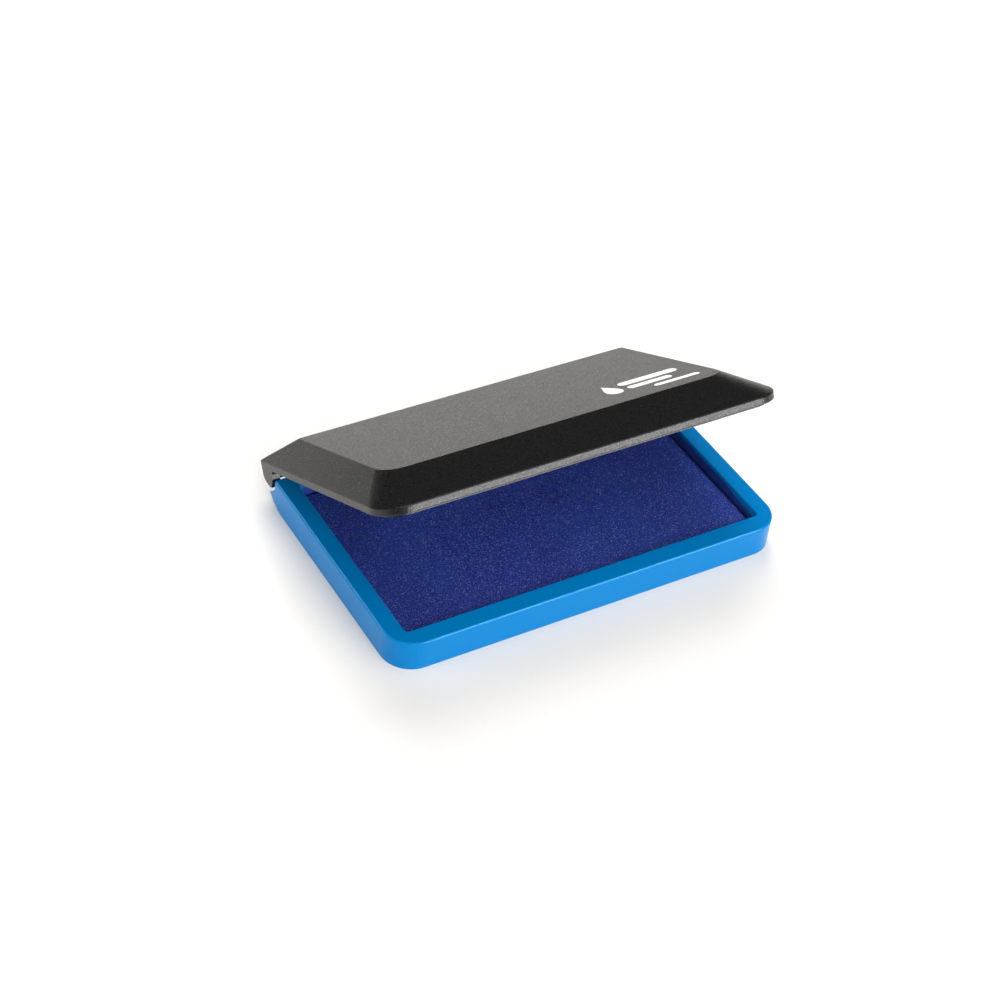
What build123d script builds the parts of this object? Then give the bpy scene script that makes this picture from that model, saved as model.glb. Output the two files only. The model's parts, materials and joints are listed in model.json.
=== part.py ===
"""Ink pad: an inked cloth pad in a moulded tray, under a hipped lid that turns on two short pins."""
import os
from math import cos, hypot, radians, sin

from build123d import *

os.makedirs("parts", exist_ok=True)

# Millimetres and degrees. The origin is on the tray's underside, below the middle of the pad.
# X runs along the hinge, -Y is the front and +Z is up. The lid stands part open.

# Pad
PAD_LENGTH = 90.0
PAD_WIDTH = 50.0
PAD_CORNER = 1.2
BACKING_THICKNESS = 0.3
CORE_THICKNESS = 2.0
CLOTH_THICKNESS = 0.5
CLOTH_EDGE = 0.4

# Tray
WELL_GAP = 0.5
WELL_CORNER = 1.0
WELL_EDGE = 0.3
RIM_SIDE = 4.3
RIM_FRONT = 4.5
RIM_BACK = 3.9
TRAY_HEIGHT = 7.5
TRAY_FLOOR = 1.6
TRAY_CORNER = 7.0
TRAY_BACK_CORNER = 0.5
TRAY_EDGE = 0.5
SKIRT = 1.3
WELL_WALL = 1.2
RIM_THICKNESS = 1.3
RIB_THICKNESS = 1.0
RIB_PITCH = 15.0
RIB_SETBACK = 0.6
LEDGE_Y = 31.2
LEDGE_TIP_BOTTOM = 2.5
LEDGE_TIP_TOP = 2.75
LEDGE_WALL_TOP = 4.4
FOOT_SWEEP_START = 24.5

# Hinge
HINGE_Y = 32.1
HINGE_Z = 6.3
LID_OPENING = 28.0
PIN_RADIUS = 0.9
PIN_SEAT_CLEARANCE = 0.02
PIN_RUNNING_CLEARANCE = 0.07
PIN_SEAT_DEPTH = 1.3
ARM_WIDTH = 3.0
ARM_RADIUS = 1.8
ARM_CENTRE_X = 43.0

# Lid, in its closed place
LID_HALF = 50.3
LID_FRONT = -29.2
LID_BACK = 34.7
LID_RIM_BOTTOM = 8.3
LID_RIM_TOP = 10.05
LID_TOP = 14.5
LID_CORNER = 7.0
LID_BACK_CORNER = 0.8
TOP_INSET_SIDE = 7.1
TOP_INSET_FRONT = 11.8
TOP_INSET_BACK = 7.7
TOP_CORNER = 5.0
TOP_BACK_CORNER = 0.6
TOP_EDGE = 0.7
RIM_EDGE = 0.35
RIM_FOOT_EDGE = 0.25
LID_WALL = 1.4
END_WALL = 1.0
SEAL_INSET = 1.9
SEAL_BACK_INSET = 1.0
SEAL_WIDTH = 1.1
SEAL_GAP = 0.05
EAR_THICKNESS = 2.2
EAR_INSET = 0.15
EAR_TOP_FRONT = 28.1
EAR_SHOULDER = (28.9, 7.65)
EAR_FRONT = 29.65
EAR_FRONT_TOP = 7.3
EAR_BOTTOM = 4.1
EAR_TIP_START = 5.6
EAR_TIP = (30.6, 4.25)
EAR_ROUND = ((31.0, 4.1), (32.5, 4.55), (33.8, 5.5), (34.5, 6.7), (34.65, 8.0), (34.35, 9.3), (33.5, 10.74))

# Round marks that the mould's ejector pins leave inside the lid and under the tray
EJECTOR_RADIUS = 1.6
EJECTOR_DEPTH = 0.15
LID_EJECTOR_PITCH = (36.0, 26.0)
TRAY_EJECTOR_PITCH = (34.0, 30.0)

WELL_HALF_X = PAD_LENGTH / 2 + WELL_GAP
WELL_HALF_Y = PAD_WIDTH / 2 + WELL_GAP
TRAY_HALF = WELL_HALF_X + RIM_SIDE
TRAY_FRONT = -(WELL_HALF_Y + RIM_FRONT)
TRAY_BACK = WELL_HALF_Y + RIM_BACK
BACKING_TOP = TRAY_FLOOR + BACKING_THICKNESS
CORE_TOP = BACKING_TOP + CORE_THICKNESS
SEAL_BOTTOM = TRAY_HEIGHT + SEAL_GAP
EAR_INNER_X = LID_HALF - EAR_THICKNESS
OUTSIDE = 1.5


def opened(y, z):
    """Where a point of the closed lid is once the lid has turned about the hinge."""
    turn = radians(LID_OPENING)
    dy, dz = y - HINGE_Y, z - HINGE_Z
    return HINGE_Y + cos(turn) * dy + sin(turn) * dz, HINGE_Z - sin(turn) * dy + cos(turn) * dz


# Planes that are drawn on in the closed lid's own heights and depths
LID_PLAN = Plane(
    origin=(0, *opened(0, 0)),
    x_dir=(1, 0, 0),
    z_dir=(0, sin(radians(LID_OPENING)), cos(radians(LID_OPENING))),
)
LID_SIDE = Plane(origin=LID_PLAN.origin, x_dir=LID_PLAN.y_dir, z_dir=(1, 0, 0))


def draw_plan(sketch, half, front, back, front_corner, back_corner):
    """Draw a tray or lid outline seen from above: round corners in front, tight ones at the back."""
    with Locations((0, (front + back) / 2)):
        Rectangle(2 * half, back - front)
    fillet(sketch.vertices().group_by(Axis.Y)[0], front_corner)
    fillet(sketch.vertices().group_by(Axis.Y)[-1], back_corner)


# --- Tray -------------------------------------------------------------------------------------
with BuildPart() as tray:
    with BuildSketch() as outline:
        draw_plan(outline, TRAY_HALF, TRAY_FRONT, TRAY_BACK, TRAY_CORNER, TRAY_BACK_CORNER)
    extrude(amount=TRAY_HEIGHT)
    fillet(tray.faces().sort_by(Axis.Z)[-1].edges(), TRAY_EDGE)

    # Ledge along the foot of the back wall, with a sloping top
    with BuildSketch(Plane.YZ.offset(-TRAY_HALF)):
        with BuildLine():
            Polyline(
                (TRAY_BACK - SKIRT, 0),
                (LEDGE_Y, 0),
                (LEDGE_Y, LEDGE_TIP_TOP),
                (TRAY_BACK, LEDGE_WALL_TOP),
                (TRAY_BACK - SKIRT, LEDGE_WALL_TOP),
                close=True,
            )
        make_face()
    extrude(amount=2 * TRAY_HALF)

    # Groove between the skirt and the well's wall, open underneath, with cross ribs left in it
    with BuildSketch() as groove:
        draw_plan(
            groove,
            TRAY_HALF - SKIRT,
            TRAY_FRONT + SKIRT,
            TRAY_BACK - SKIRT,
            TRAY_CORNER - SKIRT,
            WELL_CORNER,
        )
        Rectangle(2 * (WELL_HALF_X + WELL_WALL), 2 * (WELL_HALF_Y + WELL_WALL), mode=Mode.SUBTRACT)
    extrude(amount=TRAY_HEIGHT - RIM_THICKNESS, mode=Mode.SUBTRACT)
    rib_height = TRAY_HEIGHT - RIM_THICKNESS - RIB_SETBACK
    for side in (-1, 1):
        rib_x = side * (WELL_HALF_X + WELL_WALL + TRAY_HALF - SKIRT) / 2
        with Locations((rib_x, 0, RIB_SETBACK + rib_height / 2)):
            with GridLocations(1, RIB_PITCH, 1, 3):
                Box(RIM_SIDE - SKIRT, RIB_THICKNESS, rib_height)
    for wall_y in (TRAY_FRONT, TRAY_BACK):
        inward = 1 if wall_y < 0 else -1
        rim = RIM_FRONT if wall_y < 0 else RIM_BACK
        with Locations((0, wall_y + inward * rim / 2, RIB_SETBACK + rib_height / 2)):
            with GridLocations(RIB_PITCH, 1, 6, 1):
                Box(RIB_THICKNESS, rim - SKIRT, rib_height)

    # Well for the pad
    with BuildSketch(Plane.XY.offset(TRAY_HEIGHT)):
        RectangleRounded(2 * WELL_HALF_X, 2 * WELL_HALF_Y, WELL_CORNER)
    extrude(amount=-(TRAY_HEIGHT - TRAY_FLOOR), mode=Mode.SUBTRACT)
    well_mouth = tray.edges().filter_by_position(
        Axis.Z, TRAY_HEIGHT - 0.01, TRAY_HEIGHT + 0.01
    ).filter_by(lambda edge: abs(edge.center().X) < WELL_HALF_X + 0.1 and abs(edge.center().Y) < WELL_HALF_Y + 0.1)
    fillet(well_mouth, WELL_EDGE)

    # The underside sweeps up at the back to the ledge's tip
    with BuildSketch(Plane.YZ.offset(-TRAY_HALF - OUTSIDE)):
        with BuildLine():
            sweep_up = TangentArc((FOOT_SWEEP_START, 0), (LEDGE_Y, LEDGE_TIP_BOTTOM), tangent=(1, 0))
            Polyline(
                sweep_up @ 1,
                (LEDGE_Y + OUTSIDE, LEDGE_TIP_BOTTOM),
                (LEDGE_Y + OUTSIDE, -OUTSIDE),
                (FOOT_SWEEP_START, -OUTSIDE),
                sweep_up @ 0,
            )
        make_face()
    extrude(amount=2 * (TRAY_HALF + OUTSIDE), mode=Mode.SUBTRACT)

    with BuildSketch():
        with GridLocations(*TRAY_EJECTOR_PITCH, 3, 2):
            Circle(EJECTOR_RADIUS)
    extrude(amount=EJECTOR_DEPTH, mode=Mode.SUBTRACT)

    # Two arms reach back to the hinge, each with a hole for a pin
    for side in (-1, 1):
        arm_plane = Plane.YZ.offset(side * ARM_CENTRE_X - ARM_WIDTH / 2)
        with BuildSketch(arm_plane):
            with Locations((HINGE_Y, HINGE_Z)):
                Circle(ARM_RADIUS)
            with Locations(((TRAY_BACK - SKIRT / 2 + HINGE_Y) / 2, HINGE_Z - ARM_RADIUS / 3)):
                Rectangle(HINGE_Y - TRAY_BACK + SKIRT / 2, ARM_RADIUS * 4 / 3)
            with Locations((HINGE_Y, HINGE_Z)):
                Circle(PIN_RADIUS + PIN_RUNNING_CLEARANCE, mode=Mode.SUBTRACT)
        extrude(amount=ARM_WIDTH)
tray.part.label = "tray"
export_step(tray.part, "parts/tray.step")


# --- Pad: backing sheet, ink core and cloth cover ----------------------------------------------
CORE_LENGTH = PAD_LENGTH - 2 * CLOTH_THICKNESS
CORE_WIDTH = PAD_WIDTH - 2 * CLOTH_THICKNESS

with BuildPart() as pad_backing:
    with BuildSketch(Plane.XY.offset(TRAY_FLOOR)):
        RectangleRounded(PAD_LENGTH, PAD_WIDTH, PAD_CORNER)
    extrude(amount=BACKING_THICKNESS)
pad_backing.part.label = "pad_backing"
export_step(pad_backing.part, "parts/pad_backing.step")

with BuildPart() as pad_core:
    with BuildSketch(Plane.XY.offset(BACKING_TOP)):
        RectangleRounded(CORE_LENGTH, CORE_WIDTH, PAD_CORNER - CLOTH_THICKNESS)
    extrude(amount=CORE_THICKNESS)
pad_core.part.label = "pad_core"
export_step(pad_core.part, "parts/pad_core.step")

with BuildPart() as pad_cloth:
    with BuildSketch(Plane.XY.offset(BACKING_TOP)):
        RectangleRounded(PAD_LENGTH, PAD_WIDTH, PAD_CORNER)
    extrude(amount=CORE_THICKNESS + CLOTH_THICKNESS)
    fillet(pad_cloth.faces().sort_by(Axis.Z)[-1].edges(), CLOTH_EDGE)
    with BuildSketch(Plane.XY.offset(BACKING_TOP)):
        RectangleRounded(CORE_LENGTH, CORE_WIDTH, PAD_CORNER - CLOTH_THICKNESS)
    extrude(amount=CORE_THICKNESS, mode=Mode.SUBTRACT)
pad_cloth.part.label = "pad_cloth"
export_step(pad_cloth.part, "parts/pad_cloth.step")


# --- Lid --------------------------------------------------------------------------------------
TOP_HALF = LID_HALF - TOP_INSET_SIDE
TOP_FRONT = LID_FRONT + TOP_INSET_FRONT
TOP_BACK = LID_BACK - TOP_INSET_BACK
SLOPE_HEIGHT = LID_TOP - LID_RIM_TOP
BACK_SLOPE = SLOPE_HEIGHT / TOP_INSET_BACK
BACK_WALL_DROP = LID_WALL * hypot(1, BACK_SLOPE)
CAVITY_INSET = SEAL_INSET + SEAL_WIDTH
SEAL_BACK = TRAY_BACK - SEAL_BACK_INSET
END_HOLLOW_TOP = LID_RIM_TOP - END_WALL
REACH = 2 * LID_HALF

with BuildPart() as lid:
    # Rim, drawn down as far as the ears, and the hipped roof on it
    with BuildSketch(LID_PLAN.offset(EAR_BOTTOM)) as rim:
        draw_plan(rim, LID_HALF, LID_FRONT, LID_BACK, LID_CORNER, LID_BACK_CORNER)
    extrude(amount=LID_RIM_TOP - EAR_BOTTOM)
    with BuildSketch(LID_PLAN.offset(LID_RIM_TOP)) as eaves:
        draw_plan(eaves, LID_HALF, LID_FRONT, LID_BACK, LID_CORNER, LID_BACK_CORNER)
    with BuildSketch(LID_PLAN.offset(LID_TOP)) as roof:
        draw_plan(roof, TOP_HALF, TOP_FRONT, TOP_BACK, TOP_CORNER, TOP_BACK_CORNER)
    loft()
    lid_normal = Axis(LID_PLAN.origin, LID_PLAN.z_dir)
    fillet(lid.faces().sort_by(lid_normal)[-1].edges(), TOP_EDGE)
    fillet(lid.edges().filter_by_position(lid_normal, LID_RIM_TOP - 0.01, LID_RIM_TOP + 0.01), RIM_EDGE)

    # Everything below the rim goes, except an ear at each back corner
    with BuildSketch(LID_SIDE.offset(-REACH / 2)):
        with BuildLine():
            Polyline(
                (EAR_TOP_FRONT, LID_RIM_BOTTOM),
                EAR_SHOULDER,
                (EAR_FRONT, EAR_FRONT_TOP),
                (EAR_FRONT, EAR_TIP_START),
                EAR_TIP,
                (EAR_TIP[0], 0),
                (LID_FRONT - 1, 0),
                (LID_FRONT - 1, LID_RIM_BOTTOM),
                close=True,
            )
        make_face()
        with BuildLine():
            ear_round = Spline(*EAR_ROUND, tangents=((1, 0.1), (TOP_BACK - LID_BACK, SLOPE_HEIGHT)))
            Polyline(
                ear_round @ 1,
                (LID_BACK + OUTSIDE, LID_TOP),
                (LID_BACK + OUTSIDE, 0),
                (EAR_ROUND[0][0], 0),
                ear_round @ 0,
            )
        make_face()
    extrude(amount=REACH, mode=Mode.SUBTRACT)
    with BuildSketch(LID_SIDE.offset(-EAR_INNER_X)):
        with Locations(((EAR_FRONT + LID_BACK) / 2, LID_RIM_BOTTOM / 2)):
            Rectangle(LID_BACK - EAR_FRONT + 2, LID_RIM_BOTTOM)
    extrude(amount=2 * EAR_INNER_X, mode=Mode.SUBTRACT)
    rim_foot = lid.edges().filter_by_position(
        lid_normal, LID_RIM_BOTTOM - 0.01, LID_RIM_BOTTOM + 0.01
    ).filter_by(lambda edge: LID_PLAN.to_local_coords(edge.center()).Y < EAR_FRONT - 1)
    fillet(rim_foot, RIM_FOOT_EDGE)

    # The ears' outer faces stand a little inside the rim's
    for side in (-1, 1):
        with BuildSketch(LID_PLAN):
            with Locations((side * (LID_HALF - EAR_INSET + 0.5), (EAR_TOP_FRONT + LID_BACK) / 2)):
                Rectangle(1, LID_BACK - EAR_TOP_FRONT + 2)
        extrude(amount=LID_RIM_BOTTOM - RIM_FOOT_EDGE, mode=Mode.SUBTRACT)

    # Sealing bead: the rim's inner part, which stands on the tray's rim when the lid is shut
    with BuildSketch(LID_PLAN.offset(SEAL_BOTTOM)) as bead:
        draw_plan(
            bead,
            LID_HALF - SEAL_INSET,
            LID_FRONT + SEAL_INSET,
            SEAL_BACK,
            LID_CORNER - SEAL_INSET,
            TRAY_BACK_CORNER,
        )
    extrude(amount=LID_RIM_BOTTOM - SEAL_BOTTOM)

    # Hollow over the pad, with sloping sides that follow the roof
    with BuildSketch(LID_PLAN.offset(SEAL_BOTTOM)) as hollow_mouth:
        draw_plan(
            hollow_mouth,
            LID_HALF - CAVITY_INSET,
            LID_FRONT + CAVITY_INSET,
            SEAL_BACK - SEAL_WIDTH,
            LID_CORNER - CAVITY_INSET,
            WELL_CORNER,
        )
    extrude(amount=LID_RIM_TOP - LID_WALL - SEAL_BOTTOM, mode=Mode.SUBTRACT)
    with BuildSketch(LID_PLAN.offset(LID_RIM_TOP - LID_WALL)) as hollow_eaves:
        draw_plan(
            hollow_eaves,
            LID_HALF - CAVITY_INSET,
            LID_FRONT + CAVITY_INSET,
            SEAL_BACK - SEAL_WIDTH,
            LID_CORNER - CAVITY_INSET,
            WELL_CORNER,
        )
    with BuildSketch(LID_PLAN.offset(LID_TOP - LID_WALL)) as hollow_roof:
        draw_plan(
            hollow_roof,
            TOP_HALF,
            TOP_FRONT,
            TOP_BACK - LID_WALL,
            LID_CORNER - CAVITY_INSET,
            WELL_CORNER,
        )
    loft(mode=Mode.SUBTRACT)

    # Hollow behind the bead, which clears the hinge arms: it follows the roof in the middle and is
    # low at the ends, where the roof slopes down to the ears
    back_inner = LID_BACK - LID_WALL
    with BuildSketch(LID_SIDE.offset(-TOP_HALF)):
        with BuildLine():
            Polyline(
                (SEAL_BACK, 0),
                (back_inner, 0),
                (back_inner, LID_RIM_TOP + BACK_SLOPE * LID_WALL - BACK_WALL_DROP),
                (SEAL_BACK, LID_RIM_TOP + BACK_SLOPE * (LID_BACK - SEAL_BACK) - BACK_WALL_DROP),
                close=True,
            )
        make_face()
    extrude(amount=2 * TOP_HALF, mode=Mode.SUBTRACT)
    with BuildSketch(LID_SIDE.offset(-EAR_INNER_X)):
        with Locations(((SEAL_BACK + back_inner) / 2, END_HOLLOW_TOP / 2)):
            Rectangle(back_inner - SEAL_BACK, END_HOLLOW_TOP)
    extrude(amount=2 * EAR_INNER_X, mode=Mode.SUBTRACT)

    with BuildSketch(LID_PLAN.offset(LID_TOP - LID_WALL)):
        with Locations((0, (TOP_FRONT + TOP_BACK) / 2)):
            with GridLocations(*LID_EJECTOR_PITCH, 3, 2):
                Circle(EJECTOR_RADIUS)
    extrude(amount=EJECTOR_DEPTH, mode=Mode.SUBTRACT)

    # Blind seats for the pins in the ears' inner faces
    for side in (-1, 1):
        seat_plane = LID_SIDE.offset(side * EAR_INNER_X)
        with BuildSketch(seat_plane):
            with Locations((HINGE_Y, HINGE_Z)):
                Circle(PIN_RADIUS + PIN_SEAT_CLEARANCE)
        extrude(amount=side * PIN_SEAT_DEPTH, mode=Mode.SUBTRACT)
lid.part.label = "lid"
export_step(lid.part, "parts/lid.step")


# --- Hinge pins -------------------------------------------------------------------------------
PIN_OUTER_X = EAR_INNER_X + PIN_SEAT_DEPTH - 0.05
PIN_INNER_X = ARM_CENTRE_X - ARM_WIDTH / 2 - 0.3

for side, name in ((-1, "hinge_pin_left"), (1, "hinge_pin_right")):
    with BuildPart() as pin:
        with BuildSketch(Plane.YZ.offset(side * PIN_INNER_X)):
            with Locations((HINGE_Y, HINGE_Z)):
                Circle(PIN_RADIUS)
        extrude(amount=side * (PIN_OUTER_X - PIN_INNER_X))
        chamfer(pin.edges().filter_by(GeomType.CIRCLE), 0.2)
    pin.part.label = name
    export_step(pin.part, f"parts/{name}.step")
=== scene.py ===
"""Ink pad: a moulded tray with an inked cloth pad, under a hipped black lid on two hinge pins.

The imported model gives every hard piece. This script dresses those pieces, makes the soft pad's
cloth cover and the lid's print, and sets a plain pale studio round them. Sizes are in millimetres
unless a name ends in _m, and they are turned to metres where a mesh is made.
"""
import json
import logging
import math
from dataclasses import dataclass, field
from enum import Enum

import bmesh
import bpy
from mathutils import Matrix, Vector, noise


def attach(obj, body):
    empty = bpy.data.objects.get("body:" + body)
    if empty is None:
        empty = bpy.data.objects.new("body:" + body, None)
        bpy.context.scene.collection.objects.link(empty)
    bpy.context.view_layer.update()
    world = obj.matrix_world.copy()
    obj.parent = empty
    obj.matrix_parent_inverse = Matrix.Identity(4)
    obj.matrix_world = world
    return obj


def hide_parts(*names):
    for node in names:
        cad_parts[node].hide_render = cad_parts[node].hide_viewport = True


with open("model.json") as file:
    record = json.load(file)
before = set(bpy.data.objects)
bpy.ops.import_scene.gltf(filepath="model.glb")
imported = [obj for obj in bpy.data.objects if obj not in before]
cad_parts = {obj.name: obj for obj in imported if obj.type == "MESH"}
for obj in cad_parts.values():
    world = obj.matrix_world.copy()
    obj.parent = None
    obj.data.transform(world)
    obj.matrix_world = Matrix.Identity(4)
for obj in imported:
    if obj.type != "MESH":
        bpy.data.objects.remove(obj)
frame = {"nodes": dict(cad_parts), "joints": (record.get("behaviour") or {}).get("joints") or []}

logging.basicConfig(level=logging.INFO, format="%(levelname)s %(message)s")
log = logging.getLogger("ink_pad")

MM = 0.001
DROP_TAPER = 1.6
DROP_FULLNESS = 1.2
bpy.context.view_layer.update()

Point = tuple[float, float, float]
Flat = tuple[float, float]
Span = tuple[float, float]


# --- Small tools --------------------------------------------------------------------------------
def linear(hex_colour: str) -> tuple[float, float, float, float]:
    """Turn an sRGB hex colour to the linear colour that a shader takes.

    Args:
        hex_colour: six hex digits, with or without a leading "#".

    Returns:
        Linear red, green and blue with an alpha of 1.
    """
    digits = hex_colour.lstrip("#")
    parts = [int(digits[i:i + 2], 16) / 255 for i in (0, 2, 4)]
    red, green, blue = (
        part / 12.92 if part <= 0.04045 else ((part + 0.055) / 1.055) ** 2.4 for part in parts
    )
    return red, green, blue, 1.0


def add_node(
    tree: bpy.types.NodeTree,
    kind: str,
    inputs: dict[str | int, object] | None = None,
    **settings: object,
) -> bpy.types.Node:
    """Add a node to a tree with its settings, and fill or link its inputs.

    Args:
        tree: the node tree that gets the node.
        kind: the node's type name.
        inputs: for each input's name or number, its value or the output that feeds it.
        settings: the node's own properties.

    Returns:
        The new node.
    """
    node = tree.nodes.new(kind)
    for name, value in settings.items():
        setattr(node, name, value)
    for key, value in (inputs or {}).items():
        if isinstance(value, bpy.types.NodeSocket):
            tree.links.new(value, node.inputs[key])
        else:
            node.inputs[key].default_value = value
    return node


def cells_per_metre(size_mm: float) -> float:
    """Give the texture scale at which one cell of a pattern is size_mm wide."""
    return 1 / (size_mm * MM)


def new_material(name: str) -> bpy.types.Material:
    """Make an empty node material called name."""
    material = bpy.data.materials.new(name)
    material.use_nodes = True
    material.node_tree.nodes.clear()
    return material


def dress(node_name: str, material: bpy.types.Material) -> None:
    """Give every material slot of a CAD node this material."""
    mesh = frame["nodes"][node_name].data
    for index in range(len(mesh.materials)):
        mesh.materials[index] = material
    log.info("dressed %s in %s", node_name, material.name)


def mesh_piece(
    name: str,
    points: list[Point],
    faces: list[tuple[int, ...]],
    material: bpy.types.Material,
) -> bpy.types.Object:
    """Make a piece from points in millimetres.

    Args:
        name: the piece's name.
        points: its vertices, in millimetres.
        faces: its faces, as vertex numbers.
        material: the material it is dressed in.

    Returns:
        The new object, with its faces turned outward.
    """
    mesh = bpy.data.meshes.new(name)
    mesh.from_pydata([tuple(value * MM for value in point) for point in points], [], faces)
    built = bmesh.new()
    built.from_mesh(mesh)
    bmesh.ops.recalc_face_normals(built, faces=built.faces)
    built.to_mesh(mesh)
    built.free()
    mesh.materials.append(material)
    piece = bpy.data.objects.new(name, mesh)
    bpy.context.scene.collection.objects.link(piece)
    return piece


# --- Finishes -----------------------------------------------------------------------------------
class MouldPolish(Enum):
    """How the steel mould was finished, which the plastic copies: its roughness."""

    GLOSS = 0.2
    SMOOTH = 0.24
    SATIN = 0.33


@dataclass(frozen=True)
class MouldedPlastic:
    """Plastic shot into a steel mould, so it copies the mould's polish and shrinks a little.

    Shrinkage leaves faint hollows some millimetres wide that bend the reflections, and a spark
    eroded mould leaves a fine even grain.
    """

    name: str
    tint: str
    polish: MouldPolish
    ior: float
    specular: float
    grain_mm: float
    grain_height_mm: float
    hollow_mm: float
    hollow_height_mm: float
    grain_tint: str
    grain_low: float = 0.32
    grain_high: float = 0.68
    polish_spread: float = 0.22

    def surface(
        self, tree: bpy.types.NodeTree, place: bpy.types.NodeSocket
    ) -> tuple[bpy.types.NodeSocket, bpy.types.NodeSocket, bpy.types.NodeSocket]:
        """Make the plastic's colour, roughness and bump.

        Args:
            tree: the material's node tree.
            place: the coordinates that the patterns follow.

        Returns:
            The outputs that carry the colour, the roughness and the normal.
        """
        grain = add_node(
            tree,
            "ShaderNodeTexNoise",
            {"Vector": place, "Scale": cells_per_metre(self.grain_mm), "Detail": 2.0},
        )
        hollows = add_node(
            tree,
            "ShaderNodeTexNoise",
            {"Vector": place, "Scale": cells_per_metre(self.hollow_mm), "Detail": 1.0},
        )
        peaks = add_node(
            tree,
            "ShaderNodeMapRange",
            {
                "Value": grain.outputs[0],
                "From Min": self.grain_low,
                "From Max": self.grain_high,
            },
        )
        colour = add_node(
            tree,
            "ShaderNodeMix",
            {0: peaks.outputs[0], 6: linear(self.tint), 7: linear(self.grain_tint)},
            data_type="RGBA",
        )
        roughness = add_node(
            tree,
            "ShaderNodeMapRange",
            {
                "Value": peaks.outputs[0],
                "To Min": self.polish.value * (1 - self.polish_spread),
                "To Max": self.polish.value * (1 + self.polish_spread),
            },
        )
        shrunk = add_node(
            tree,
            "ShaderNodeBump",
            {"Height": hollows.outputs[0], "Distance": self.hollow_height_mm * MM},
        )
        grained = add_node(
            tree,
            "ShaderNodeBump",
            {
                "Height": grain.outputs[0],
                "Distance": self.grain_height_mm * MM,
                "Normal": shrunk.outputs[0],
            },
        )
        return colour.outputs[2], roughness.outputs[0], grained.outputs[0]

    def make(self) -> bpy.types.Material:
        """Make the plastic's material."""
        material = new_material(self.name)
        tree = material.node_tree
        place = add_node(tree, "ShaderNodeTexCoord").outputs["Object"]
        colour, roughness, normal = self.surface(tree, place)
        finish_surface(tree, colour, roughness, normal, self.ior, self.specular)
        return material


def finish_surface(
    tree: bpy.types.NodeTree,
    colour: bpy.types.NodeSocket,
    roughness: bpy.types.NodeSocket | float,
    normal: bpy.types.NodeSocket,
    ior: float,
    specular: float,
    gloss_tint: str = "#ffffff",
) -> None:
    """Close a material with its shader and output.

    Args:
        tree: the material's node tree.
        colour: the output with the base colour.
        roughness: the output with the roughness, or one value for all of it.
        normal: the output with the bumped normal.
        ior: the material's index of refraction.
        specular: how strong its gloss is, 0.5 for a clean dielectric.
        gloss_tint: the colour that the gloss takes where it is seen head on.
    """
    shader = add_node(
        tree,
        "ShaderNodeBsdfPrincipled",
        {
            "Base Color": colour,
            "Roughness": roughness,
            "Normal": normal,
            "IOR": ior,
            "Specular IOR Level": specular,
            "Specular Tint": linear(gloss_tint),
        },
    )
    add_node(tree, "ShaderNodeOutputMaterial", {"Surface": shader.outputs[0]})


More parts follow.
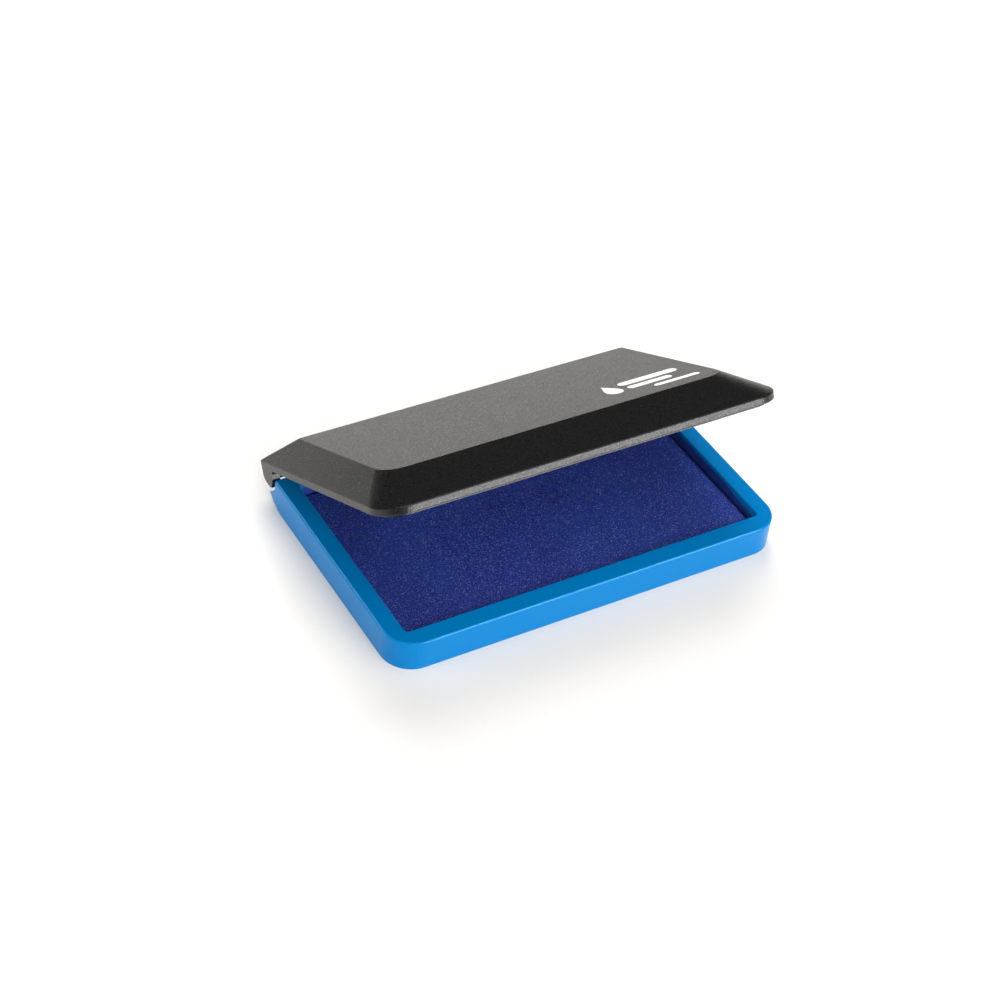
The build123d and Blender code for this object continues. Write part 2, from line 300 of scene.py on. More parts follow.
@dataclass(frozen=True)
class StainAndPaintedReflectionPlastic(MouldedPlastic):
    """The tray's plastic, with the ink that has crept up the well's walls and dried there; the
    ink's navy also stands as a painted reflection of the pad on those walls.
    """

    # Navy of the dried ink in the well, which also stands as a painted reflection of the pad on
    # the walls
    stain_and_pad_reflection: str = "#2a4391"
    gloss_tint: str = "#a8e6ff"
    well_half: Flat = (45.5, 25.5)
    tide_low: float = 5.4
    tide_high: float = 6.7
    tide_turn: float = 0.45
    tide_wander: float = 1.1
    tide_wave: float = 5.0
    wet_below: float = 0.25
    dry_above: float = 0.1
    wall_depth: float = 0.33
    floor_level: float = 1.2
    # A faint darker patch of the stain colour on the rim at the back left corner
    rim_patch_middle: Point = (-44.8, 24.5, 7.5)
    rim_patch_edge: float = 4.2
    rim_patch_core: float = 1.6
    rim_patch_strength: float = 0.15
    rim_patch_uneven: Span = (0.6, 1.5)

    def make(self) -> bpy.types.Material:
        """Make the stained plastic's material."""
        material = new_material(self.name)
        tree = material.node_tree
        place = add_node(tree, "ShaderNodeTexCoord").outputs["Object"]
        colour, roughness, normal = self.surface(tree, place)
        # Mix in the dried ink's navy, which also serves as a painted reflection of the pad on the
        # well's walls
        stained_and_reflecting = add_node(
            tree,
            "ShaderNodeMix",
            {0: self.stains_and_pad_reflection(tree, place), 6: colour, 7: linear(self.stain_and_pad_reflection)},
            data_type="RGBA",
        )
        finish_surface(
            tree,
            stained_and_reflecting.outputs[2],
            roughness,
            normal,
            self.ior,
            self.specular,
            self.gloss_tint,
        )
        return material

    def stains_and_pad_reflection(
        self, tree: bpy.types.NodeTree, place: bpy.types.NodeSocket
    ) -> bpy.types.NodeSocket:
        """Work out where the stain colour lies: in the well up to a wavy tide line, as dried ink
        and a painted reflection of the pad, and in one faint patch on the rim.

        Args:
            tree: the material's node tree.
            place: the coordinates in metres.

        Returns:
            The output with the stain colour's strength, 0 to 1.
        """
        axes = add_node(tree, "ShaderNodeSeparateXYZ", {0: place}).outputs
        # The tide line wanders by about a millimetre either way
        waves = add_node(
            tree,
            "ShaderNodeTexNoise",
            {"Vector": place, "Scale": cells_per_metre(self.tide_wave), "Detail": 2.0},
        ).outputs[0]
        wander = add_node(
            tree,
            "ShaderNodeMapRange",
            {
                "Value": waves,
                "To Min": -self.tide_wander * MM,
                "To Max": self.tide_wander * MM,
            },
        ).outputs[0]
        # The band rises from the front towards the back, where the dried ink and the painted pad
        # reflection reach highest
        tide = add_node(
            tree,
            "ShaderNodeMapRange",
            {
                "Value": axes[1],
                "From Min": -self.well_half[1] * MM,
                "From Max": -self.well_half[1] * MM * self.tide_turn,
                "To Min": self.tide_low * MM,
                "To Max": self.tide_high * MM,
            },
            interpolation_type="SMOOTHSTEP",
        ).outputs[0]
        line = add_node(tree, "ShaderNodeMath", {0: tide, 1: wander}, operation="ADD").outputs[0]
        under = add_node(
            tree, "ShaderNodeMath", {0: line, 1: axes[2]}, operation="SUBTRACT"
        ).outputs[0]
        wet = add_node(
            tree,
            "ShaderNodeMapRange",
            {
                "Value": under,
                "From Min": -self.dry_above * MM,
                "From Max": self.wet_below * MM,
            },
        ).outputs[0]
        inside = self.inside_well(tree, axes)
        # Only the inside of the well gets the dried ink and painted pad reflection, and only above
        # its floor
        wall_stain_and_reflection = add_node(
            tree, "ShaderNodeMath", {0: wet, 1: inside}, operation="MULTIPLY"
        ).outputs[0]
        rim_patch = self.rim_patch(tree, place, waves)
        return add_node(
            tree, "ShaderNodeMath", {0: wall_stain_and_reflection, 1: rim_patch}, operation="MAXIMUM"
        ).outputs[0]

    def inside_well(
        self, tree: bpy.types.NodeTree, axes: bpy.types.bpy_prop_collection
    ) -> bpy.types.NodeSocket:
        """Mask the well: 1 inside its walls and above its floor, 0 elsewhere.

        Args:
            tree: the material's node tree.
            axes: the outputs with x, y and z.

        Returns:
            The output with the mask.
        """
        masks = []
        for axis, half in zip(axes[:2], self.well_half):
            reach = add_node(tree, "ShaderNodeMath", {0: axis}, operation="ABSOLUTE").outputs[0]
            masks.append(
                add_node(
                    tree,
                    "ShaderNodeMath",
                    {0: reach, 1: (half + self.wall_depth) * MM},
                    operation="LESS_THAN",
                ).outputs[0]
            )
        above = add_node(
            tree,
            "ShaderNodeMath",
            {0: axes[2], 1: self.floor_level * MM},
            operation="GREATER_THAN",
        ).outputs[0]
        both = add_node(
            tree, "ShaderNodeMath", {0: masks[0], 1: masks[1]}, operation="MULTIPLY"
        ).outputs[0]
        return add_node(
            tree, "ShaderNodeMath", {0: both, 1: above}, operation="MULTIPLY"
        ).outputs[0]

    def rim_patch(
        self,
        tree: bpy.types.NodeTree,
        place: bpy.types.NodeSocket,
        waves: bpy.types.NodeSocket,
    ) -> bpy.types.NodeSocket:
        """Put a faint, uneven patch of the stain colour on the rim at the back left.

        Args:
            tree: the material's node tree.
            place: the coordinates in metres.
            waves: a slow noise that makes its edge uneven.

        Returns:
            The output with the patch's strength.
        """
        middle = tuple(value * MM for value in self.rim_patch_middle)
        away = add_node(
            tree, "ShaderNodeVectorMath", {0: place, 1: middle}, operation="DISTANCE"
        ).outputs["Value"]
        uneven = add_node(
            tree,
            "ShaderNodeMapRange",
            {
                "Value": waves,
                "To Min": self.rim_patch_uneven[0],
                "To Max": self.rim_patch_uneven[1],
            },
        ).outputs[0]
        reach = add_node(
            tree, "ShaderNodeMath", {0: away, 1: uneven}, operation="MULTIPLY"
        ).outputs[0]
        return add_node(
            tree,
            "ShaderNodeMapRange",
            {
                "Value": reach,
                "From Min": self.rim_patch_edge * MM,
                "From Max": self.rim_patch_core * MM,
                "To Min": 0.0,
                "To Max": self.rim_patch_strength,
            },
            interpolation_type="SMOOTHSTEP",
        ).outputs[0]


@dataclass(frozen=True)
class InkedCloth:
    """Close cotton cloth soaked in ink: dull, deep and violet blue, with fibre ends that glint."""

    name: str
    deep: str
    body: str
    bloom: str
    glint: str
    patch: str
    yarn_mm: float
    yarn_height_mm: float
    fibre_mm: float
    roughness: float
    ior: float
    specular: float = 0.3
    soak_mm: float = 14.0
    hollow_range: Span = (0.34, 0.56)
    crest_range: Span = (0.5, 0.78)
    patch_range: Span = (0.4, 0.62)
    patch_strength: float = 0.5
    end_lot: Span = (0.35, 1.15)
    end_reach: Span = (0.42, 0.05)

    def make(self) -> bpy.types.Material:
        """Make the cloth's material."""
        material = new_material(self.name)
        tree = material.node_tree
        place = add_node(tree, "ShaderNodeTexCoord").outputs["Object"]
        yarn = add_node(
            tree,
            "ShaderNodeTexNoise",
            {
                "Vector": place,
                "Scale": cells_per_metre(self.yarn_mm),
                "Detail": 2.0,
                "Roughness": 0.6,
            },
        ).outputs[0]
        soak = add_node(
            tree,
            "ShaderNodeTexNoise",
            {"Vector": place, "Scale": cells_per_metre(self.soak_mm), "Detail": 2.0},
        ).outputs[0]
        # Hollows between the yarns hold the most ink
        hollow = add_node(
            tree,
            "ShaderNodeMapRange",
            {
                "Value": yarn,
                "From Min": self.hollow_range[0],
                "From Max": self.hollow_range[1],
            },
        ).outputs[0]
        crest = add_node(
            tree,
            "ShaderNodeMapRange",
            {
                "Value": yarn,
                "From Min": self.crest_range[0],
                "From Max": self.crest_range[1],
            },
        ).outputs[0]
        patch = add_node(
            tree,
            "ShaderNodeMapRange",
            {
                "Value": soak,
                "From Min": self.patch_range[0],
                "From Max": self.patch_range[1],
                "To Max": self.patch_strength,
            },
        ).outputs[0]
        dark = add_node(
            tree,
            "ShaderNodeMix",
            {0: hollow, 6: linear(self.deep), 7: linear(self.body)},
            data_type="RGBA",
        ).outputs[2]
        wet = add_node(
            tree,
            "ShaderNodeMix",
            {0: patch, 6: dark, 7: linear(self.patch)},
            data_type="RGBA",
        ).outputs[2]
        lit = add_node(
            tree,
            "ShaderNodeMix",
            {0: crest, 6: wet, 7: linear(self.bloom)},
            data_type="RGBA",
        ).outputs[2]
        glinting = add_node(
            tree,
            "ShaderNodeMix",
            {0: self.fibre_ends(tree, place), 6: lit, 7: linear(self.glint)},
            data_type="RGBA",
        ).outputs[2]
        raised = add_node(
            tree,
            "ShaderNodeBump",
            {"Height": yarn, "Distance": self.yarn_height_mm * MM},
        ).outputs[0]
        finish_surface(tree, glinting, self.roughness, raised, self.ior, self.specular)
        return material

    def fibre_ends(
        self, tree: bpy.types.NodeTree, place: bpy.types.NodeSocket
    ) -> bpy.types.NodeSocket:
        """Scatter single fibre ends that stand up out of the ink: small sparse pale dots.

        Args:
            tree: the material's node tree.
            place: the coordinates in metres.

        Returns:
            The output with the dots' strength.
        """
        cells = add_node(
            tree,
            "ShaderNodeTexVoronoi",
            {"Vector": place, "Scale": cells_per_metre(self.fibre_mm)},
        )
        lot = add_node(tree, "ShaderNodeSeparateColor", {0: cells.outputs["Color"]}).outputs[0]
        drawn = add_node(
            tree,
            "ShaderNodeMapRange",
            {"Value": lot, "From Min": self.end_lot[0], "From Max": self.end_lot[1]},
        ).outputs[0]
        dot = add_node(
            tree,
            "ShaderNodeMapRange",
            {
                "Value": cells.outputs["Distance"],
                "From Min": self.end_reach[0],
                "From Max": self.end_reach[1],
            },
        ).outputs[0]
        return add_node(
            tree, "ShaderNodeMath", {0: drawn, 1: dot}, operation="MULTIPLY"
        ).outputs[0]


# Injection-moulded polystyrene, tinted in the mass and shot into a polished mould: clean, glossy
# and a little soft at the edges. IOR of polystyrene is 1.5 to 1.59, roughness of such a mould
# about 0.2. The grain is the polish itself, under a micrometre high. Shrinkage over the ribs
# leaves hollows about 9 mm wide. The gloss is held below that of a clean sheet, because
# handling and dried ink dull it.
# The well's walls carry dried ink whose navy also serves as a painted reflection of the pad.
TRAY_FINISH = StainAndPaintedReflectionPlastic(
    name="polystyrene_moulded_cyan_ink_stained_painted_pad_reflection",
    tint="#0074b6",
    grain_tint="#0077ba",
    polish=MouldPolish.GLOSS,
    ior=1.5,
    specular=0.22,
    grain_mm=0.5,
    grain_height_mm=0.0006,
    hollow_mm=9.0,
    hollow_height_mm=0.02,
)

# Injection-moulded ABS, black in the mass, from a spark eroded mould: satin, so it greys where
# it is seen flat and stays black where it faces the eye. IOR of ABS is 1.54, roughness of the
# eroded face about 0.3. The real grain is about 0.1 mm across. It is drawn coarser, at about
# 0.4 mm, because the real one is too fine to show.
LID_FINISH = MouldedPlastic(
    name="abs_moulded_black_satin_grain",
    tint="#050505",
    grain_tint="#121212",
    polish=MouldPolish.SATIN,
    ior=1.54,
    specular=0.5,
    grain_mm=0.42,
    grain_height_mm=0.05,
    hollow_mm=11.0,
    hollow_height_mm=0.03,
)

# Acetal pins turned from the bar: black, smooth and slightly waxy. IOR of acetal is 1.48,
# roughness about 0.25. The marks of the tool are about 0.2 mm apart.
PIN_FINISH = MouldedPlastic(
    name="acetal_turned_black",
    tint="#0c0c0c",
    grain_tint="#141414",
    polish=MouldPolish.SMOOTH,
    ior=1.48,
    specular=0.5,
    grain_mm=0.2,
    grain_height_mm=0.002,
    hollow_mm=2.0,
    hollow_height_mm=0.002,
)

# White polystyrene sheet, rolled and die cut, under the felt: even and faintly glossy. IOR 1.55,
# roughness about 0.25. Rolling leaves waves about 12 mm long.
BACKING_FINISH = MouldedPlastic(
    name="polystyrene_rolled_sheet_white",
    tint="#c4cad2",
    grain_tint="#cfd4da",
    polish=MouldPolish.SMOOTH,
    ior=1.55,
    specular=0.5,
    grain_mm=0.8,
    grain_height_mm=0.002,
    hollow_mm=12.0,
    hollow_height_mm=0.01,
)

# Pad-printed two-part ink: an opaque white film a few hundredths of a millimetre thick that
# follows the satin plastic below. IOR 1.5, roughness about 0.3.
PRINT_FINISH = MouldedPlastic(
    name="ink_pad_printed_white",
    tint="#f4f4f4",
    grain_tint="#fbfbfb",
    polish=MouldPolish.SATIN,
    ior=1.5,
    specular=0.5,
    grain_mm=0.3,
    grain_height_mm=0.002,
    hollow_mm=3.0,
    hollow_height_mm=0.002,
)

# Woven cotton of about 30 yarns to the centimetre, so 0.33 mm a yarn, soaked in violet blue ink
# and brushed flat by use: deep between the yarns and dull on top, with single fibre ends that
# glint. IOR of the glycol ink is 1.45, roughness of wet cloth about 0.55. Fibre ends are
# 0.02 mm thick. They are drawn coarser, at about 0.35 mm, because they are too fine to show.
CLOTH_FINISH = InkedCloth(
    name="cotton_woven_soaked_violet_blue_ink",
    deep="#161e5c",
    body="#2d3b94",
    bloom="#495cc2",
    glint="#b6c4ff",
    patch="#234194",
    yarn_mm=0.34,
    yarn_height_mm=0.15,
    fibre_mm=0.35,
    roughness=0.55,
    ior=1.45,
)

# Pressed wool felt that feeds the ink up to its cover: dark, matt and coarser than the cloth.
# IOR of the ink is 1.45, roughness of felt about 0.7. Its tufts are about 0.8 mm across.
FELT_FINISH = InkedCloth(
    name="wool_felt_pressed_soaked_ink",
    deep="#0b0e2c",
    body="#181d50",
    bloom="#262e70",
    glint="#5a60a0",
    patch="#16225a",
    yarn_mm=0.8,
    yarn_height_mm=0.15,
    fibre_mm=1.6,
    roughness=0.7,
    ior=1.45,
)


# --- Tray ---------------------------------------------------------------------------------------
@dataclass
class Tray:
    """The open moulded tray that the pad lies in."""

    finish: StainAndPaintedReflectionPlastic = TRAY_FINISH

    def build(self) -> None:
        """Dress the tray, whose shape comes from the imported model."""
        dress("tray", self.finish.make())


# --- Pad ----------------------------------------------------------------------------------------
@dataclass
class Pad:
    """The soft ink pad: a white backing sheet, a felt core and a cloth cover pulled over it."""

    half_length: float = 45.0
    half_width: float = 25.0
    foot: float = 1.9
    top: float = 4.4
    corner: float = 1.2
    edge: float = 0.45
    cloth: float = 0.48
    crown: float = 0.16
    cell: float = 0.38
    edge_steps: tuple[float, ...] = (0.0, 0.07, 0.17, 0.3, 0.45)
    wall_heights: tuple[float, ...] = (1.55, 0.95, 0.4)
    slow_wave: float = 13.0
    slow_height: float = 0.05
    yarn_wave: float = 0.9
    yarn_height: float = 0.035
    yarn_layer: float = 7.0
    points: list[Point] = field(default_factory=list)
    faces: list[tuple[int, ...]] = field(default_factory=list)

    def build(self) -> bpy.types.Object:
        """Returns:
            The cloth cover.
        """
        felt = FELT_FINISH.make()
        dress("pad_core", felt)
        dress("pad_backing", BACKING_FINISH.make())
        self.make_cover()
        cover = mesh_piece("pad_cover", self.points, self.faces, CLOTH_FINISH.make())
        cover.data.shade_smooth()
        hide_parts("pad_cloth")
        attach(cover, "base")
        log.info("made pad_cover with %d faces", len(self.faces))
        return cover

    def steps(self, half: float) -> list[float]:
        """Give the grid lines across one side, closer together at the rounded edges.

        Args:
            half: half of the side's length.

        Returns:
            The lines' places, from -half to half.
        """
        inner = half - self.edge_steps[-1]
        count = max(2, round(2 * inner / self.cell))
        middle = [-inner + 2 * inner * i / count for i in range(1, count)]
        start = [-half + step for step in self.edge_steps]
        return start + middle + [-value for value in reversed(start)]

    def cover_point(self, x: float, y: float) -> Point:
        """Place one point of the cover's upper face.

        Args:
            x: its place along the pad before the corners are rounded.
            y: its place across the pad before the corners are rounded.

        Returns:
            The point on the crowned, rounded and slightly uneven cloth.
        """
        core_x = self.half_length - self.corner
        core_y = self.half_width - self.corner
        over_x, over_y = max(abs(x) - core_x, 0), max(abs(y) - core_y, 0)
        inset = min(self.half_length - abs(x), self.half_width - abs(y))
        if over_x > 0 and over_y > 0:
            reach = max(over_x, over_y)
            shrink = reach / math.hypot(over_x, over_y)
            x = math.copysign(core_x + over_x * shrink, x)
            y = math.copysign(core_y + over_y * shrink, y)
            inset = self.corner - reach
        drop = 0.0
        if inset < self.edge:
            drop = self.edge - math.sqrt(max(self.edge**2 - (self.edge - inset) ** 2, 0))
        bow = (1 - (x / self.half_length) ** 2) * (1 - (y / self.half_width) ** 2)
        calm = min(inset / self.edge, 1)
        slow = noise.noise(Vector((x / self.slow_wave, y / self.slow_wave, 0)))
        yarn = noise.noise(Vector((x / self.yarn_wave, y / self.yarn_wave, self.yarn_layer)))
        rise = self.crown * bow + calm * (slow * self.slow_height + yarn * self.yarn_height)
        return x, y, self.top - drop + rise

    def make_cover(self) -> None:
        """Lay out the cover: its upper face, its sides, and the hollow that takes the felt."""
        columns, rows = self.steps(self.half_length), self.steps(self.half_width)
        wide, deep = len(columns), len(rows)
        self.points = [self.cover_point(x, y) for y in rows for x in columns]
        self.faces = [
            (j * wide + i, j * wide + i + 1, (j + 1) * wide + i + 1, (j + 1) * wide + i)
            for j in range(deep - 1)
            for i in range(wide - 1)
        ]
        rim = (
            list(range(wide - 1))
            + [j * wide + wide - 1 for j in range(deep - 1)]
            + [(deep - 1) * wide + i for i in range(wide - 1, 0, -1)]
            + [j * wide for j in range(deep - 1, 0, -1)]
        )
        outline = [self.points[index][:2] for index in rim]
        last = rim
        for height in (*self.wall_heights, 0.0):
            last = self.add_loop(last, outline, self.foot + height)
        hollow = [self.pulled_in(x, y) for x, y in outline]
        last = self.add_loop(last, hollow, self.foot)
        last = self.add_loop(last, hollow, self.top - self.cloth)
        self.faces.append(tuple(last))

    def pulled_in(self, x: float, y: float) -> Flat:
        """Move a point of the outline inward by the cloth's thickness.

        Args:
            x: the point's place along the pad.
            y: the point's place across the pad.

        Returns:
            The point of the hollow's outline.
        """
        centre_x = max(-self.half_length + self.corner, min(self.half_length - self.corner, x))
        centre_y = max(-self.half_width + self.corner, min(self.half_width - self.corner, y))
        shrink = (self.corner - self.cloth) / self.corner
        return centre_x + (x - centre_x) * shrink, centre_y + (y - centre_y) * shrink

    def add_loop(self, last: list[int], outline: list[Flat], height: float) -> list[int]:
        """Add a closed loop of points and the band of faces that joins it to the last loop.

        Args:
            last: the vertex numbers of the loop it joins.
            outline: the new loop's points seen from above.
            height: the new loop's height.

        Returns:
            The new loop's vertex numbers.
        """
        first = len(self.points)
        self.points += [(x, y, height) for x, y in outline]
        loop = list(range(first, first + len(outline)))
        for i, index in enumerate(loop):
            after = (i + 1) % len(loop)
            self.faces.append((last[i], last[after], loop[after], index))
        return loop


# --- Lid ----------------------------------------------------------------------------------------
class PrintShape(Enum):
    """The plain shapes that the lid's printed sign is made of."""

    DROP = "drop"
    BAR = "bar"


@dataclass(frozen=True)
class PrintedMark:
    """One printed shape on the lid's top, placed as on the closed lid."""

    shape: PrintShape
    middle: Flat
    length: float
    height: float

    def outline(self) -> list[Flat]:
        """Give the shape's outline, run round once."""
        if self.shape is PrintShape.DROP:
            return self.drop()
        return self.bar()

    def drop(self, sides: int = 40) -> list[Flat]:
        """Draw a falling drop of ink: round below, drawn to a point above.

        Args:
            sides: how many straight runs make the curve.

        Returns:
            The outline's points.
        """
        points = []
        for i in range(sides):
            turn = 2 * math.pi * i / sides
            swell = DROP_FULLNESS * math.sin(turn / 2) ** DROP_TAPER
            points.append(
                (
                    self.middle[0] + self.length / 2 * math.sin(turn) * swell,
                    self.middle[1] + self.height / 2 * math.cos(turn),
                )
            )
        return points

    def bar(self, sides: int = 10) -> list[Flat]:
        """Draw a bar with round ends.

        Args:
            sides: how many straight runs make each round end.

        Returns:
            The outline's points.
        """
        radius = self.height / 2
        reach = self.length / 2 - radius
        points = []
        for end in (1, -1):
            for i in range(sides + 1):
                turn = math.pi * i / sides - math.pi / 2
                points.append(
                    (
                        self.middle[0] + end * (reach + radius * math.cos(turn)),
                        self.middle[1] + end * radius * math.sin(turn),
                    )
                )
        return points


@dataclass
class Lid:
    """The hipped lid, with a small white sign printed near its front right corner."""

    top: float = 14.5
    film: float = 0.03
    sink: float = 0.01
    marks: tuple[PrintedMark, ...] = (
        PrintedMark(PrintShape.DROP, (19.4, -5.9), 4.6, 8.2),
        PrintedMark(PrintShape.BAR, (30.6, -3.9), 15.6, 2.9),
        PrintedMark(PrintShape.BAR, (28.6, -8.0), 11.6, 2.3),
        PrintedMark(PrintShape.BAR, (33.4, -11.9), 12.0, 1.7),
    )

    def build(self) -> bpy.types.Object:
        """Dress the lid and print its sign.

        Returns:
            The printed sign.
        """
        dress("lid", LID_FINISH.make())
        points: list[Point] = []
        faces: list[tuple[int, ...]] = []
        for mark in self.marks:
            first = len(points)
            outline = mark.outline()
            count = len(outline)
            for height in (self.top - self.sink, self.top + self.film):
                points += [self.opened(x, y, height) for x, y in outline]
            lower = range(first, first + count)
            upper = range(first + count, first + 2 * count)
            faces += [tuple(lower), tuple(upper)]
            faces += [
                (lower[i], lower[(i + 1) % count], upper[(i + 1) % count], upper[i])
                for i in range(count)
            ]
        sign = mesh_piece("lid_print", points, faces, PRINT_FINISH.make())
        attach(sign, "cover")
        log.info("made lid_print with %d marks", len(self.marks))
        return sign

    def opened(self, x: float, y: float, z: float) -> Point:
        """Turn a point of the closed lid about the hinge to where the lid stands.

        Args:
            x: its place along the hinge.
            y: its place from front to back on the closed lid.
            z: its height on the closed lid.

        Returns:
            Its place on the lid as it stands.
        """
        hinge = frame["joints"][0]
        turn = math.radians(-hinge["range_deg"][0])
        hinge_y, hinge_z = (value / MM for value in hinge["pos_m"][1:])
        off_y, off_z = y - hinge_y, z - hinge_z
        return (
            x,
            hinge_y + math.cos(turn) * off_y + math.sin(turn) * off_z,
            hinge_z - math.sin(turn) * off_y + math.cos(turn) * off_z,
        )


# --- Hinge --------------------------------------------------------------------------------------
@dataclass
class Hinge:
    """The two short pins that the lid turns on."""

    pins: tuple[str, ...] = ("hinge_pin_left", "hinge_pin_right")

    def build(self) -> None:
        """Dress the pins."""
        material = PIN_FINISH.make()
        for pin in self.pins:
            dress(pin, material)


# --- Studio -------------------------------------------------------------------------------------
class LightReach(Enum):
    """What a light adds to the picture."""

    EVERYTHING = "light and reflection"
    FILL = "light without its own reflection"
    EDGE = "a reflection in the tray's glossy edges only"


@dataclass(frozen=True)
class Softbox:
    """A rectangular soft light, aimed at the middle of the object."""

    name: str
    towards: Point
    distance_m: float
    width_m: float
    height_m: float
    radiance: float
    reach: LightReach = LightReach.EVERYTHING

    def build(self) -> None:
        """Hang the light, aim it and limit what it reaches."""
        lamp = bpy.data.lights.new(self.name, "AREA")
        lamp.shape = "RECTANGLE"
        lamp.size, lamp.size_y = self.width_m, self.height_m
        lamp.energy = self.radiance * math.pi * self.width_m * self.height_m
        holder = bpy.data.objects.new(self.name, lamp)
        away = Vector(self.towards).normalized()
        holder.location = away * self.distance_m
        holder.rotation_mode = "QUATERNION"
        holder.rotation_quaternion = (-away).to_track_quat("-Z", "Y")
        holder.visible_glossy = self.reach is not LightReach.FILL
        holder.visible_diffuse = self.reach is not LightReach.EDGE
        bpy.context.scene.collection.objects.link(holder)
        if self.reach is LightReach.EDGE:
            flagged = bpy.data.collections.new(self.name + "_reaches")
            flagged.objects.link(frame["nodes"]["tray"])
            holder.light_linking.receiver_collection = flagged


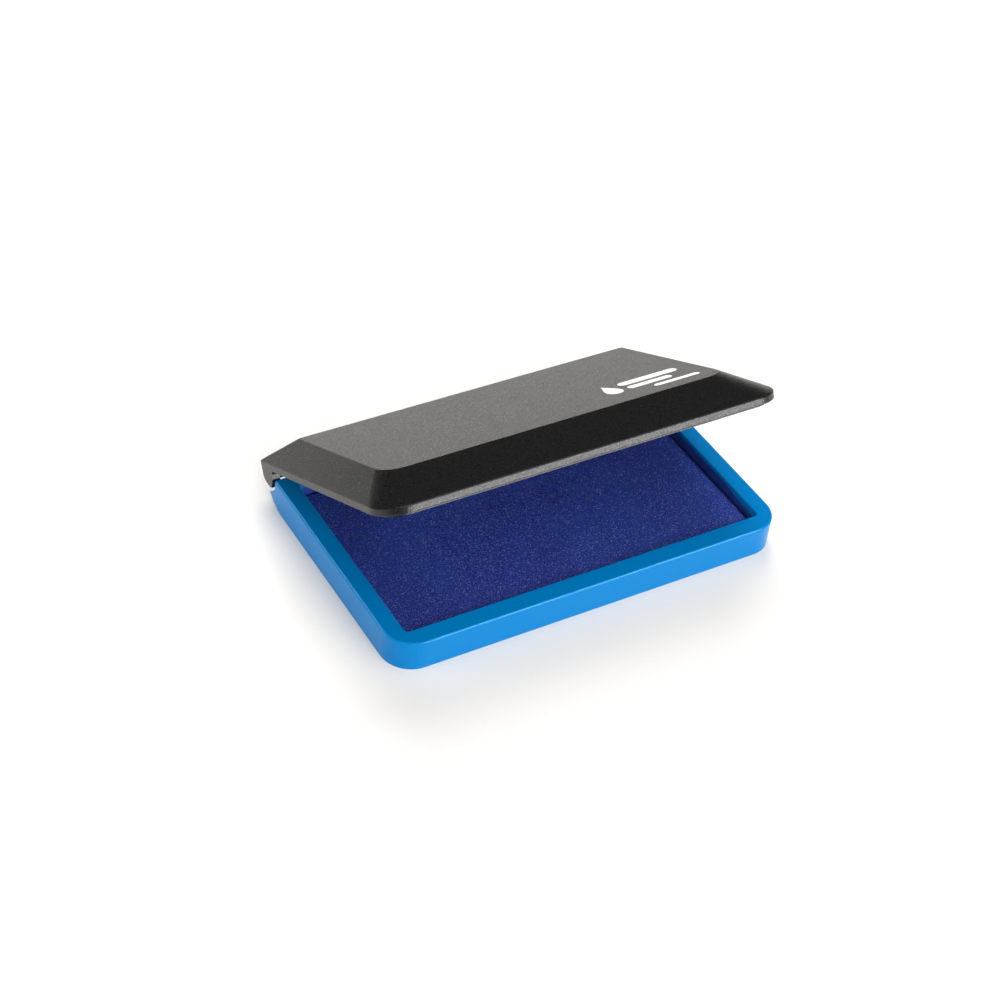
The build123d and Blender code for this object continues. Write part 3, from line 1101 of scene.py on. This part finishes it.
@dataclass
class Studio:
    """A white sweep of paper under soft light, and the camera.

    Angles are in degrees and distance, target and floor_drop in millimetres. Names that end in
    _m are in metres.
    """

    azimuth: float = -34.69
    elevation: float = 41.01
    roll: float = 7.18
    distance: float = 493.9
    target: Point = (-1.38, 9.94, 0.0)
    lens: float = 76.95
    sensor: float = 36.0
    floor_half_m: float = 5.0
    floor_drop: float = 0.02
    glow_start_m: float = 0.13
    glow_full_m: float = 0.32
    fade_m: float = 1.0
    glow_near: float = 0.12
    glow_full: float = 0.15
    paper: str = "#dad8d5"
    paper_fibre: str = "#dddbd8"
    fibre_mm: float = 1.0
    room_dim: float = 0.08
    room_glow: float = 0.1
    glow_height: float = 0.4
    glow_sides: Span = (0.1, 0.7)
    clip_m: Span = (0.01, 50.0)
    softboxes: tuple[Softbox, ...] = (
        Softbox("softbox_overhead", (0.1, -0.15, 1.0), 1.0, 1.1, 1.1, 1.6),
        Softbox("softbox_front", (0.42, -0.9, 0.16), 1.1, 0.8, 0.35, 9.5),
        Softbox("edge_front", (0.43, -0.655, 0.62), 1.0, 0.5, 0.5, 24.0, LightReach.EDGE),
        Softbox("edge_back_left", (-0.42, 0.62, 0.62), 1.0, 0.4, 0.4, 11.0, LightReach.EDGE),
        Softbox("key_back", (0.3, 0.82, 0.95), 1.1, 0.6, 0.6, 9.0, LightReach.FILL),
        Softbox("fill_front", (0.3, -1.0, 0.12), 1.1, 0.7, 0.3, 1.6, LightReach.FILL),
        Softbox("fill_left", (-1.0, 0.25, 0.2), 1.1, 0.6, 0.4, 8.0, LightReach.FILL),
        Softbox("fill_pad", (-0.1, -0.8, 0.6), 1.1, 0.6, 0.4, 7.0, LightReach.FILL),
    )

    def build(self) -> None:
        """Lay the floor, hang the lights and set the camera."""
        self.lay_floor()
        for softbox in self.softboxes:
            softbox.build()
        self.light_room()
        self.set_camera()
        bpy.context.scene.view_settings.view_transform = "Standard"
        log.info("set the studio with %d softboxes", len(self.softboxes))

    def lay_floor(self) -> None:
        """Lay a wide sheet of matt white paper that fades into the white room far away."""
        material = new_material("paper_matt_white_sweep")
        tree = material.node_tree
        place = add_node(tree, "ShaderNodeTexCoord").outputs["Object"]
        fibres = add_node(
            tree,
            "ShaderNodeTexNoise",
            {"Vector": place, "Scale": cells_per_metre(self.fibre_mm), "Detail": 2.0},
        ).outputs[0]
        colour = add_node(
            tree,
            "ShaderNodeMix",
            {0: fibres, 6: linear(self.paper), 7: linear(self.paper_fibre)},
            data_type="RGBA",
        ).outputs[2]
        away = add_node(tree, "ShaderNodeVectorMath", {0: place}, operation="LENGTH").outputs[1]
        lit = add_node(
            tree,
            "ShaderNodeMapRange",
            {
                "Value": away,
                "From Min": self.glow_start_m,
                "From Max": self.glow_full_m,
                "To Min": self.glow_near,
                "To Max": self.glow_full,
            },
            interpolation_type="SMOOTHSTEP",
        ).outputs[0]
        far = add_node(
            tree,
            "ShaderNodeMapRange",
            {"Value": away, "From Min": self.glow_full_m, "From Max": self.fade_m},
            interpolation_type="SMOOTHSTEP",
        ).outputs[0]
        direct = add_node(tree, "ShaderNodeLightPath").outputs["Is Camera Ray"]
        seen = add_node(
            tree, "ShaderNodeMath", {0: far, 1: direct, 2: lit}, operation="MULTIPLY_ADD"
        ).outputs[0]
        shader = add_node(
            tree,
            "ShaderNodeBsdfPrincipled",
            {
                "Base Color": colour,
                "Roughness": 1.0,
                "Specular IOR Level": 0.0,
                "Emission Color": linear("#ffffff"),
                "Emission Strength": seen,
            },
        )
        add_node(tree, "ShaderNodeOutputMaterial", {"Surface": shader.outputs[0]})
        half, drop = self.floor_half_m / MM, -self.floor_drop
        outline = [(-half, -half), (half, -half), (half, half), (-half, half)]
        corners = [(x, y, drop) for x, y in outline]
        floor = mesh_piece("paper_floor", corners, [(0, 1, 2, 3)], material)

    def light_room(self) -> None:
        """Make the room: dim grey, a little brighter low down behind, white seen directly."""
        world = bpy.data.worlds.new("studio_room")
        world.use_nodes = True
        tree = world.node_tree
        tree.nodes.clear()
        look = add_node(tree, "ShaderNodeTexCoord").outputs["Generated"]
        axes = add_node(tree, "ShaderNodeSeparateXYZ", {0: look}).outputs
        low = add_node(
            tree,
            "ShaderNodeMapRange",
            {
                "Value": axes[2],
                "From Min": 0.0,
                "From Max": self.glow_height,
                "To Min": 1.0,
                "To Max": 0.0,
            },
            interpolation_type="SMOOTHSTEP",
        ).outputs[0]
        behind = add_node(
            tree,
            "ShaderNodeMapRange",
            {
                "Value": axes[1],
                "From Min": self.glow_sides[0],
                "From Max": self.glow_sides[1],
            },
            interpolation_type="SMOOTHSTEP",
        ).outputs[0]
        glow = add_node(
            tree, "ShaderNodeMath", {0: low, 1: behind}, operation="MULTIPLY"
        ).outputs[0]
        strength = add_node(
            tree,
            "ShaderNodeMapRange",
            {"Value": glow, "To Min": self.room_dim, "To Max": self.room_glow},
        ).outputs[0]
        direct = add_node(tree, "ShaderNodeLightPath").outputs["Is Camera Ray"]
        shown = add_node(
            tree, "ShaderNodeMix", {0: direct, 2: strength, 3: 1.0}, data_type="FLOAT"
        ).outputs[0]
        room = add_node(
            tree,
            "ShaderNodeBackground",
            {"Color": linear("#ffffff"), "Strength": shown},
        )
        add_node(tree, "ShaderNodeOutputWorld", {"Surface": room.outputs[0]})
        bpy.context.scene.world = world

    def set_camera(self) -> None:
        """Set the camera in front, to the left and well above, turned a little about its axis."""
        turn, rise, tilt = (
            math.radians(angle) for angle in (self.azimuth, self.elevation, self.roll)
        )
        back = Vector(
            (
                math.sin(turn) * math.cos(rise),
                -math.cos(turn) * math.cos(rise),
                math.sin(rise),
            )
        )
        right = (-back).cross(Vector((0, 0, 1))).normalized()
        up = right.cross(-back)
        rolled_right = right * math.cos(tilt) + up * math.sin(tilt)
        rolled_up = up * math.cos(tilt) - right * math.sin(tilt)
        lens = bpy.data.cameras.new("camera")
        lens.lens, lens.sensor_width = self.lens, self.sensor
        lens.clip_start, lens.clip_end = self.clip_m
        camera = bpy.data.objects.new("camera", lens)
        place = (Vector(self.target) + back * self.distance) * MM
        for row in range(3):
            for column, axis in enumerate((rolled_right, rolled_up, back, place)):
                camera.matrix_world[row][column] = axis[row]
        bpy.context.scene.collection.objects.link(camera)
        bpy.context.scene.camera = camera


def main() -> None:
    """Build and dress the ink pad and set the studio."""
    Studio().build()
    Tray().build()
    Pad().build()
    Lid().build()
    Hinge().build()
    bpy.context.view_layer.update()


if __name__ == "__main__":
    main()
